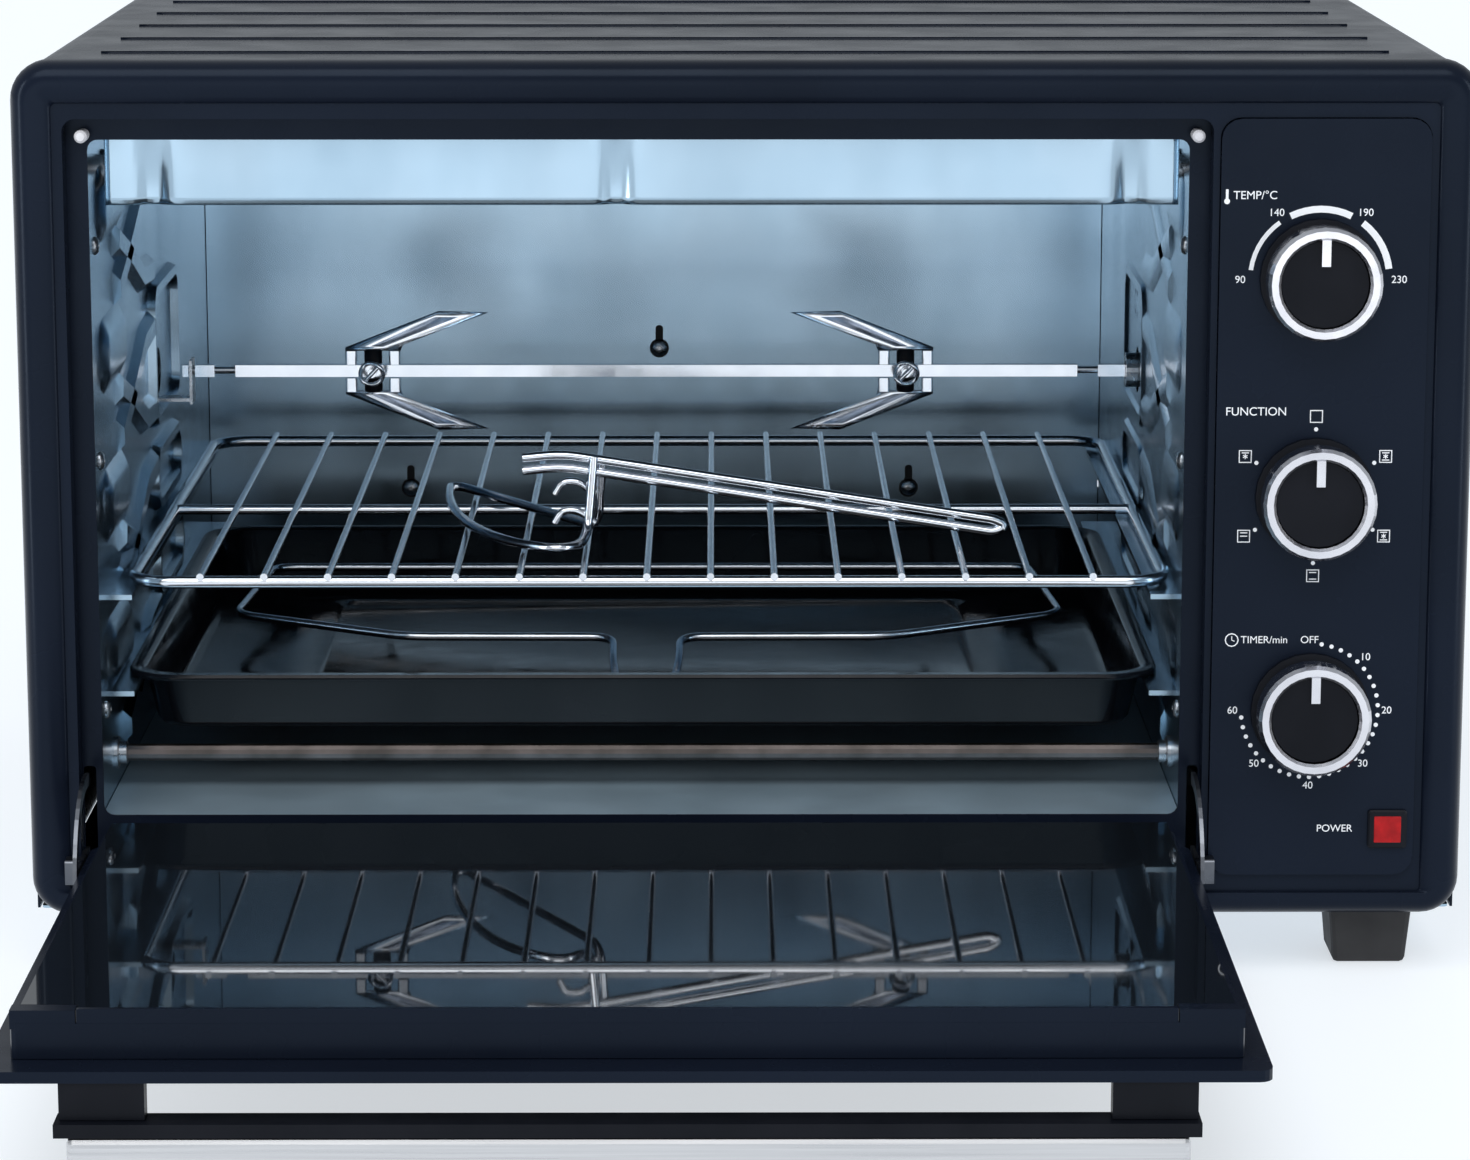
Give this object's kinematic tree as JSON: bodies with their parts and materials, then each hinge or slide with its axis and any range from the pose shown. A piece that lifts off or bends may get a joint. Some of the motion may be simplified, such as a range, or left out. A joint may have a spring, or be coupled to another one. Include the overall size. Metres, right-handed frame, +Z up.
{
  "type": "rotisserie oven",
  "caption": "Countertop rotisserie oven with a drop-down glass door, spit with forks, wire rack, baking tray and dial controls.",
  "frame": {"origin": "centre of the bounding box with the door open, on the surface that the feet stand on", "axes": "+X to the oven's right as seen from the front, +Y from the front towards the back, +Z up"},
  "size_m": [0.56, 0.772, 0.359],
  "materials": {
    "navy_paint": "satin",
    "galvanised": "semi-mirror galvanised sheet",
    "chrome": "polished",
    "bar_steel": "brushed along its length",
    "plated_steel": "zinc plated",
    "heater_sheath": "dark oxidised",
    "enamel": "gloss enamel",
    "black_plastic": "fine satin",
    "silver_plastic": "bright silver",
    "dark_glass": "tinted mirror",
    "red_lens": "translucent",
    "white_rubber": "matte",
    "black_rubber": "matte"
  },
  "bodies": {
    "oven": {"outer_casing": "navy_paint", "front_bezel": "navy_paint", "front_plate": "navy_paint", "control_panel": "navy_paint", "back_cover": "navy_paint", "base_plate": "galvanised", "cord_inlet_gland": "black_rubber", "power_lamp_lens": "red_lens", "foot_front_left": "black_rubber", "foot_front_right": "black_rubber", "foot_rear_left": "black_rubber", "foot_rear_right": "black_rubber", "door_bumper_left": "white_rubber", "door_bumper_right": "white_rubber", "hinge_lug_left": "plated_steel", "hinge_lug_right": "plated_steel", "cavity_left_wall": "galvanised", "cavity_right_wall": "galvanised", "cavity_top": "galvanised", "cavity_floor": "galvanised", "cavity_back_wall": "galvanised", "top_deflector": "galvanised", "upper_heater_front": "heater_sheath", "upper_heater_rear": "heater_sheath", "lower_heater_front": "heater_sheath", "lower_heater_rear": "heater_sheath", "thermostat": "black_plastic", "function_switch": "black_plastic", "timer_movement": "black_plastic", "rotisserie_motor": "plated_steel", "fan_motor": "plated_steel", "spit_support_hook": "plated_steel"},
    "door": {"door_outer_panel": "navy_paint", "door_inner_frame": "navy_paint", "door_glass": "dark_glass", "handle_post_left": "black_plastic", "handle_post_right": "black_plastic", "handle_backing": "black_plastic", "handle_bar": "bar_steel", "hinge_arm_left": "plated_steel", "hinge_arm_right": "plated_steel", "hinge_pin_left": "plated_steel", "hinge_pin_right": "plated_steel"},
    "temperature_dial": {"temperature_knob": "black_plastic", "temperature_knob_ring": "silver_plastic"},
    "function_dial": {"function_knob": "black_plastic", "function_knob_ring": "silver_plastic"},
    "timer_dial": {"timer_knob": "black_plastic", "timer_knob_ring": "silver_plastic"},
    "spit": {"spit_rod": "chrome", "spit_drive_socket": "plated_steel"},
    "left_fork_body": {"left_fork": "chrome"},
    "right_fork_body": {"right_fork": "chrome"},
    "left_screw": {"left_fork_screw": "chrome"},
    "right_screw": {"right_fork_screw": "chrome"},
    "fan": {"convection_fan": "galvanised"},
    "rack": {"wire_rack": "chrome"},
    "tool": {"lifting_tool": "chrome"},
    "tray": {"baking_tray": "enamel"},
    "insert": {"tray_wire_insert": "chrome"}
  },
  "joints": [
    {"name": "door_hinge", "type": "hinge", "parent": "oven", "child": "door", "pos_m": [0, -0.0925, 0.0445], "axis": [1, 0, 0], "range_deg": [-90, 0]},
    {"name": "temperature_turn", "type": "hinge", "parent": "oven", "child": "temperature_dial", "pos_m": [0.2192, -0.0885, 0.2762], "axis": [0, 1, 0], "range_deg": [-95, 95]},
    {"name": "function_turn", "type": "hinge", "parent": "oven", "child": "function_dial", "pos_m": [0.2192, -0.0885, 0.1916], "axis": [0, 1, 0], "range_deg": [0, 300]},
    {"name": "timer_turn", "type": "hinge", "parent": "oven", "child": "timer_dial", "pos_m": [0.2192, -0.0885, 0.107], "axis": [0, 1, 0], "range_deg": [0, 270]},
    {"name": "spit_spin", "type": "hinge", "parent": "oven", "child": "spit", "pos_m": [0, 0.151, 0.204], "axis": [1, 0, 0], "continuous": true},
    {"name": "left_fork_slide", "type": "slide", "parent": "spit", "child": "left_fork_body", "axis": [1, 0, 0], "range_m": [-0.04, 0.055]},
    {"name": "right_fork_slide", "type": "slide", "parent": "spit", "child": "right_fork_body", "axis": [1, 0, 0], "range_m": [-0.055, 0.055]},
    {"name": "left_screw_turn", "type": "hinge", "parent": "left_fork_body", "child": "left_screw", "pos_m": [-0.16, 0.151, 0.204], "axis": [0, 1, 0], "range_deg": [0, 360]},
    {"name": "right_screw_turn", "type": "hinge", "parent": "right_fork_body", "child": "right_screw", "pos_m": [0.0706, 0.151, 0.204], "axis": [0, 1, 0], "range_deg": [0, 360]},
    {"name": "fan_spin", "type": "hinge", "parent": "oven", "child": "fan", "pos_m": [0.19, 0.203, 0.2], "axis": [1, 0, 0], "continuous": true},
    {"name": "rack_slide", "type": "slide", "parent": "oven", "child": "rack", "axis": [0, -1, 0], "range_m": [0, 0.25]},
    {"name": "tool_lift", "type": "slide", "parent": "rack", "child": "tool", "axis": [0, 0, 1], "range_m": [0, 0.015]},
    {"name": "tray_slide", "type": "slide", "parent": "oven", "child": "tray", "axis": [0, -1, 0], "range_m": [0, 0.25]},
    {"name": "insert_lift", "type": "slide", "parent": "tray", "child": "insert", "axis": [0, 0, 1], "range_m": [0, 0.03]}
  ]
}
